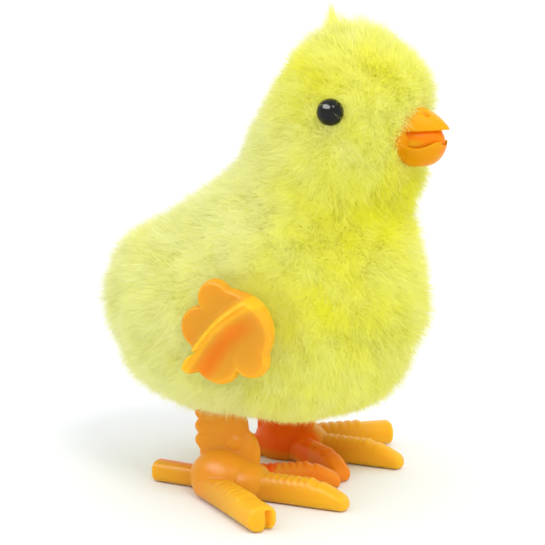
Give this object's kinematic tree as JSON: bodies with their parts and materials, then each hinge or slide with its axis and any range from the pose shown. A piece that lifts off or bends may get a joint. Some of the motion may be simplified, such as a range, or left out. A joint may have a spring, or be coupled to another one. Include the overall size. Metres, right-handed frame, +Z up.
{
  "type": "wind-up hopping toy chicken",
  "caption": "Yellow plush chick over a clockwork case, with an open beak, bead eyes, a wing-shaped winding knob and two hopping plastic legs.",
  "frame": {"origin": "centre of the bounding box on the floor the feet stand on", "axes": "+Z up, +X the way the beak points, +Y the bird's left; the winding wing is on its right side, -Y"},
  "size_m": [0.0692, 0.0624, 0.0885],
  "materials": {
    "yellow_plush": "long-pile plush",
    "filling": "loose fibre",
    "black_bead": "polished",
    "orange_plastic": "soft gloss",
    "white_nylon": "moulded",
    "case_plastic": "moulded",
    "steel": "zinc plated",
    "spring_steel": "blued strip"
  },
  "bodies": {
    "chick": {"plush_cover": "yellow_plush", "head_filling": "filling", "body_filling": "filling", "eye_right": "black_bead", "eye_left": "black_bead", "eye_washer_right": "white_nylon", "eye_washer_left": "white_nylon", "beak": "orange_plastic", "beak_washer": "white_nylon", "base_pan": "white_nylon", "base_screws": "steel", "case_right": "case_plastic", "case_left": "case_plastic", "case_screws": "steel", "mainspring": "spring_steel"},
    "winder": {"winding_shaft": "steel", "winding_wing": "orange_plastic", "wing_screw": "steel", "great_wheel": "white_nylon"},
    "second": {"second_wheel": "white_nylon", "second_arbor": "steel"},
    "cranks": {"crank_axle": "steel", "crank_pinion": "white_nylon", "crank_right": "white_nylon", "crank_left": "white_nylon", "pin_screw_right": "steel", "pin_screw_left": "steel"},
    "right_leg": {"leg_right": "orange_plastic"},
    "left_leg": {"leg_left": "orange_plastic"}
  },
  "joints": [
    {"name": "crank_spin", "type": "hinge", "parent": "chick", "child": "cranks", "pos_m": [-0.005, 0, 0.021], "axis": [0, 1, 0], "continuous": true},
    {"name": "second_spin", "type": "hinge", "parent": "chick", "child": "second", "pos_m": [-0.00939, 0, 0.03054], "axis": [0, 1, 0], "continuous": true},
    {"name": "winder_spin", "type": "hinge", "parent": "chick", "child": "winder", "pos_m": [0.0025, 0, 0.0344], "axis": [0, 1, 0], "continuous": true, "deforming": ["mainspring"]},
    {"name": "right_leg_pivot", "type": "hinge", "parent": "cranks", "child": "right_leg", "pos_m": [-0.005, -0.013, 0.0185], "axis": [0, 1, 0], "continuous": true},
    {"name": "left_leg_pivot", "type": "hinge", "parent": "cranks", "child": "left_leg", "pos_m": [-0.005, 0.013, 0.0185], "axis": [0, 1, 0], "continuous": true}
  ],
  "couplings": [
    {"joint": "second_spin", "follows": "crank_spin", "ratio": -0.3125},
    {"joint": "winder_spin", "follows": "crank_spin", "ratio": 0.078125},
    {"joint": "right_leg_pivot", "follows": "crank_spin", "ratio": -1},
    {"joint": "left_leg_pivot", "follows": "crank_spin", "ratio": -1}
  ]
}
